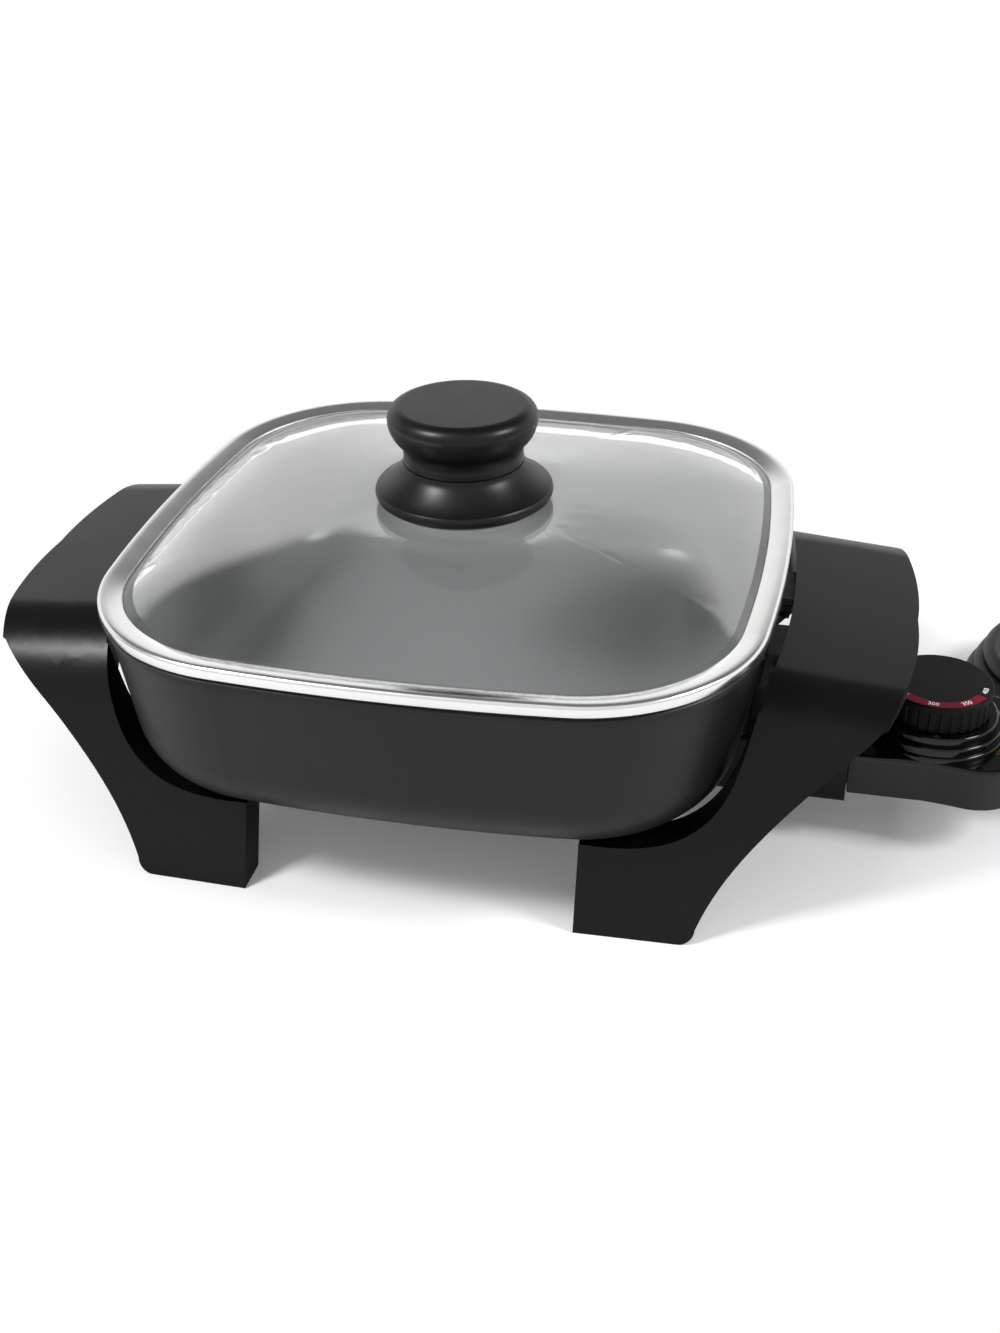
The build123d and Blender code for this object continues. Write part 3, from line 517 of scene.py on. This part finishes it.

# %% [markdown]
# ## The cord
#
# A round flexible cord leaves the sleeve, comes down to the table and winds into a coil, from
# whose top turn it drops to the plug. A NURBS line led by given points bends the way a
# stiff rubber cord does. The coil's turns come from a loop: each lies on the one below and is a
# little smaller, and it climbs at the front, where it crosses its own start.

# %% The cord's route
CORD_RADIUS = 3.3  # this and all other sizes of the route are in millimetres
LYING = CORD_RADIUS + 0.1  # height of its middle where it lies on the table
COIL_CENTRE = (218.0, 86.0)
COIL_RADIUS = 41.5
COIL_IN = 3.0  # how much smaller each turn is
COIL_UP = 5.9  # and how much higher
COIL_FIRST = 8.0  # degrees round the coil at its first point
COIL_LAST = 1030.0
COIL_STEP = 24.0
CLIMB_START = 0.6  # share of a turn that lies level before the climb
CORD_START = [
    (200.0, 0.0, 25.35),
    (225.0, 0.0, 25.35),
    (246.6, 12.5, 20.5),
    (257.6, 29.5, 11.0),
    (260.6, 51.0, 3.6),
    (260.3, 71.0, LYING),
]
CORD_END = [
    (257.0, 81.5, 20.2),
    (265.5, 102.5, 13.0),
    (268.0, 124.0, 7.5),
    (268.0, 145.5, 7.5),
]


def coil_point(angle):
    """Middle of the cord after winding this many degrees round the coil."""
    turn = angle / 360
    climb = min(max((turn % 1 - CLIMB_START) / (1 - CLIMB_START), 0.0), 1.0)
    level = int(turn) + climb * climb * (3 - 2 * climb)  # starts and ends its climb gently
    radius = COIL_RADIUS - COIL_IN * turn
    x = COIL_CENTRE[0] + radius * cos(radians(angle))
    y = COIL_CENTRE[1] + radius * sin(radians(angle))
    return (x, y, LYING + COIL_UP * level)


coil_count = int((COIL_LAST - COIL_FIRST) / COIL_STEP) + 1
coil_points = [coil_point(COIL_FIRST + COIL_STEP * k) for k in range(coil_count)]
cord_route = CORD_START + coil_points + CORD_END
print("cord is led by", len(cord_route), "points")

# %% Draw the cord
cord_curve = bpy.data.curves.new("supply_cord", "CURVE")
cord_curve.dimensions = "3D"
cord_curve.bevel_depth = CORD_RADIUS * MM
cord_curve.bevel_resolution = 5
cord_curve.resolution_u = 6
cord_curve.use_fill_caps = True
spline = cord_curve.splines.new("NURBS")
spline.points.add(len(cord_route) - 1)
for point, place in zip(spline.points, cord_route):
    point.co = (*(Vector(place) * MM), 1.0)
spline.order_u = 3
spline.use_endpoint_u = True
supply_cord = bpy.data.objects.new("supply_cord", cord_curve)
bpy.context.collection.objects.link(supply_cord)
cord_curve.materials.append(cord_black)
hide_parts("cord", "cord_coil", "cord_tail")
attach(supply_cord, "control")

# %% [markdown]
# ## Softened edges
#
# No moulded or pressed edge is perfectly sharp: a fine rounding catches the light. A shader can
# fake that, but a real bevel rounds the shape itself. The pieces come face by face, so a Weld
# modifier first joins them, and a Bevel modifier then rounds each edge that is sharper than a
# given angle. The rim's edges are already rounded, so it is only joined and shaded evenly.

# %% Softened edges
WELD_REACH = 0.002  # millimetres between two corners that become one
SHARP_ANGLE = radians(40)
EDGE_STEPS = 3
edge_width = {
    "handle_right": 1.1,
    "handle_left": 1.1,
    "control_tray": 0.5,
    "control_cover": 0.35,
    "socket_shroud": 0.4,
    "straps_right": 0.4,
    "straps_left": 0.4,
    "plug_body": 0.4,
}


def join_faces(node):
    """Joins the faces of a CAD piece, which come as separate patches."""
    weld = node.modifiers.new("join_faces", "WELD")
    weld.merge_threshold = WELD_REACH * MM


def shade_evenly(node):
    """Lets the large faces decide how the small ones between them are shaded."""
    shade = node.modifiers.new("even_shading", "WEIGHTED_NORMAL")
    shade.mode = "FACE_AREA_WITH_ANGLE"
    shade.weight = 50


def round_edges(node, width):
    """Rounds a piece's sharp edges by width millimetres."""
    bevel = node.modifiers.new("round_edges", "BEVEL")
    bevel.width = width * MM
    bevel.segments = EDGE_STEPS
    bevel.limit_method = "ANGLE"
    bevel.angle_limit = SHARP_ANGLE


for name, width in edge_width.items():
    join_faces(nodes[name])
    round_edges(nodes[name], width)
    shade_evenly(nodes[name])
join_faces(nodes["lid_rim"])
shade_evenly(nodes["lid_rim"])
print("softened", len(edge_width), "pieces and smoothed the rim")

# %% [markdown]
# ## Numbers on the dial
#
# A coloured band covers the front of the dial, and white numbers stand round it with their heads
# towards the middle, so that the one next to the mark on the cover reads upright. An image could
# carry them, but text objects are quicker and stay sharp: each is set a little above the surface,
# turned to its angle, and rides on the dial.

# %% Dial numbers
DIAL_X = 160.0  # millimetres, as the next five values
DIAL_TOP = 50.5
NUMBER_RING = 15.1
NUMBER_SIZE = 2.5
PRINT_THICK = 0.02
PRINT_LIFT = 0.08
FIRST_NUMBER = 178.0  # degrees round the dial
NUMBER_STEP = 42.0
number_words = ["200", "250", "300", "350", "400"]


def dial_word(name, body, angle):
    """A printed word on the dial, its head towards the middle."""
    word = bpy.data.curves.new(name, "FONT")
    word.body = body
    word.size = NUMBER_SIZE * MM
    word.align_x = "CENTER"
    word.align_y = "CENTER"
    word.extrude = PRINT_THICK * MM
    word.resolution_u = 4
    word.materials.append(white_print)
    piece = bpy.data.objects.new(name, word)
    bpy.context.collection.objects.link(piece)
    x = DIAL_X + NUMBER_RING * cos(radians(angle))
    y = NUMBER_RING * sin(radians(angle))
    piece.location = Vector((x, y, DIAL_TOP + PRINT_LIFT)) * MM
    piece.rotation_euler.z = radians(angle + 90)
    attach(piece, "dial")


for k, word in enumerate(number_words):
    dial_word("dial_number_" + word, word, FIRST_NUMBER + NUMBER_STEP * k)
dial_word("dial_word_off", "OFF", FIRST_NUMBER - NUMBER_STEP)
print("dial has", len(number_words), "numbers and OFF")

# %% [markdown]
# ## The floor
#
# A pale floor keeps the object's shadow near it. Further out it turns to plain white, so that the
# eye doesn't find where it ends. A much brighter floor could do that too, but it would wash out
# the shadow. So the white is only for what the camera sees: light bounces off the same pale floor
# everywhere, and a mirror sees it a little darker.

# %% Floor
FLOOR_SHADE = 0.92
FLOOR_ROUGHNESS = 0.6
FLOOR_SHINE = 0.2
FLOOR_LIFT = 0.10  # how much the shadow is lightened for the eye
FLOOR_IN_MIRROR = 0.80  # how bright the floor is in a mirror
FLOOR_HALF = 6.0  # metres from its middle to each side
FLOOR_DROP = 0.2  # millimetres under the object, so that no faces coincide

# Two patches keep their shadow, one under the skillet and one under the coil of cord. Each has its
# middle, and how far off its shadow starts to fade and has gone, in metres.
SHADOW_PATCHES = [
    ((0.0, 0.0, 0.0), 0.15, 0.22),
    ((0.235, 0.105, 0.0), 0.08, 0.16),
]


def seen_far_off(tree, seen):
    """How much a point that the camera sees is outside every patch of shadow."""
    for middle, start, end in SHADOW_PATCHES:
        reach = on_vectors(tree, "DISTANCE", place_of(tree), middle).outputs["Value"]
        far = between(tree, reach, 0.0, 1.0, start, end)
        seen = combine(tree, "MULTIPLY", seen, far)
    return seen


def floor_finish():
    """Pale floor that keeps shadows near the object and is plain white far off."""
    material, tree, shader = new_finish("pale_floor", (FLOOR_SHADE,) * 3, FLOOR_ROUGHNESS)
    shader.inputs["Specular IOR Level"].default_value = FLOOR_SHINE
    path = add_node(tree, "ShaderNodeLightPath")
    seen = path.outputs["Is Camera Ray"]
    lift = between(tree, seen, 0.0, FLOOR_LIFT, 0.0, 1.0)
    shader.inputs["Emission Color"].default_value = opaque((1.0, 1.0, 1.0))
    tree.links.new(lift, shader.inputs["Emission Strength"])
    pale = opaque((FLOOR_SHADE,) * 3)
    mirrored = opaque((FLOOR_SHADE * FLOOR_IN_MIRROR,) * 3)
    shade = blend_colours(tree, path.outputs["Is Glossy Ray"], pale, mirrored)
    tree.links.new(shade, shader.inputs["Base Color"])
    plain_white = add_node(tree, "ShaderNodeEmission")
    choose_shader(tree, seen_far_off(tree, seen), shader, plain_white)
    return material


def pale_floor():
    """A wide floor just under the object."""
    mesh = bpy.data.meshes.new("floor")
    half = FLOOR_HALF
    corners = [(-half, -half, 0), (half, -half, 0), (half, half, 0), (-half, half, 0)]
    mesh.from_pydata(corners, [], [(0, 1, 2, 3)])
    floor = bpy.data.objects.new("floor", mesh)
    bpy.context.collection.objects.link(floor)
    floor.location.z = -FLOOR_DROP * MM
    mesh.materials.append(floor_finish())


pale_floor()
print("floor laid,", 2 * FLOOR_HALF, "m wide")

# %% [markdown]
# ## The surround
#
# Black plastic and polished steel are seen by what they mirror, so the studio is built for its
# reflections. A white sheet rises behind the object. Above it is a darker room, and in front of
# the table stands a pale wall, which gives the front of the rim its light band. Panels could be
# set up for each, but the world's own shader does it with no extra meshes: it can give rays from
# the eye, from a mirror, through glass and from a dull surface each a level of its own.

# %% Surround
ROOM = 0.16  # how bright the room overhead is in a mirror
FRONT = 0.60  # and what the pale wall in front of the table adds to it
DULL_LIGHT = 0.55  # what a dull surface gets from all round
SHEET_TOP = radians(28)  # how high the sheet reaches, seen from the object
SHEET_FADE = radians(2)
BEHIND_START, BEHIND_END = -0.2, 0.2  # from the side to behind, as the Y of a direction
FRONT_FULL, FRONT_END = -0.35, -0.1

world = bpy.data.worlds.new("studio_world")
bpy.context.scene.world = world
world.use_nodes = True
sky = world.node_tree
background = sky.nodes["Background"]
background.inputs["Color"].default_value = opaque((1.0, 1.0, 1.0))
path = add_node(sky, "ShaderNodeLightPath")
looking = add_node(sky, "ShaderNodeTexCoord")
axes = add_node(sky, "ShaderNodeSeparateXYZ", [(looking.outputs["Generated"], "Vector")])
sheet_edge = (sin(SHEET_TOP - SHEET_FADE), sin(SHEET_TOP + SHEET_FADE))
below_top = between(sky, axes.outputs["Z"], 1.0, 0.0, *sheet_edge)
behind = between(sky, axes.outputs["Y"], 0.0, 1.0, BEHIND_START, BEHIND_END)
in_front = between(sky, axes.outputs["Y"], FRONT, 0.0, FRONT_FULL, FRONT_END)
sheet = combine(sky, "MULTIPLY", below_top, behind)
print("surround laid out")

# %% [markdown]
# ## What each kind of ray sees
#
# A Light Path node says which kind of ray asks, as 1 or 0. Each answer times its own level, all
# added up, gives the strength of the background.

# %% Levels of the surround
in_mirror = combine(sky, "ADD", between(sky, sheet, ROOM, 1.0, 0.0, 1.0), in_front)
through_glass = between(sky, below_top, ROOM, 1.0, 0.0, 1.0)
for_mirrors = combine(sky, "MULTIPLY", path.outputs["Is Glossy Ray"], in_mirror)
for_glass = combine(sky, "MULTIPLY", path.outputs["Is Transmission Ray"], through_glass)
for_dull = between(sky, path.outputs["Is Diffuse Ray"], 0.0, DULL_LIGHT, 0.0, 1.0)
for_eye_or_mirrors = combine(sky, "ADD", path.outputs["Is Camera Ray"], for_mirrors)
for_glass_or_dull = combine(sky, "ADD", for_glass, for_dull)
level = combine(sky, "ADD", for_eye_or_mirrors, for_glass_or_dull)
sky.links.new(level, background.inputs["Strength"])
print("mirrors see the sheet at 1, the room at", ROOM, "and the wall at", ROOM + FRONT)

# %% [markdown]
# ## Lamps
#
# Two square soft boxes light the object, a stronger one from the left and in front and a weaker
# one from the right. Their size sets how soft the shadows and highlights are: a bare bulb would
# give hard ones, and a whole glowing ceiling hardly any.

# %% Lamps
OBJECT_MIDDLE = Vector((0.0, 0.0, 0.06))


def soft_box(name, place, width, power):
    """A square lamp at place, pointed at the object. Metres and watts."""
    data = bpy.data.lights.new(name, "AREA")
    data.shape = "SQUARE"
    data.size = width
    data.energy = power
    lamp = bpy.data.objects.new(name, data)
    bpy.context.collection.objects.link(lamp)
    direction = OBJECT_MIDDLE - Vector(place)
    lamp.rotation_euler = direction.to_track_quat("-Z", "Y").to_euler()
    lamp.location = place
    print(name, "is", round(direction.length, 2), "m away")


soft_box("left_lamp", (-0.72, -0.58, 1.12), 0.34, 14.0)
soft_box("right_lamp", (1.12, -0.10, 0.95), 0.38, 10.0)
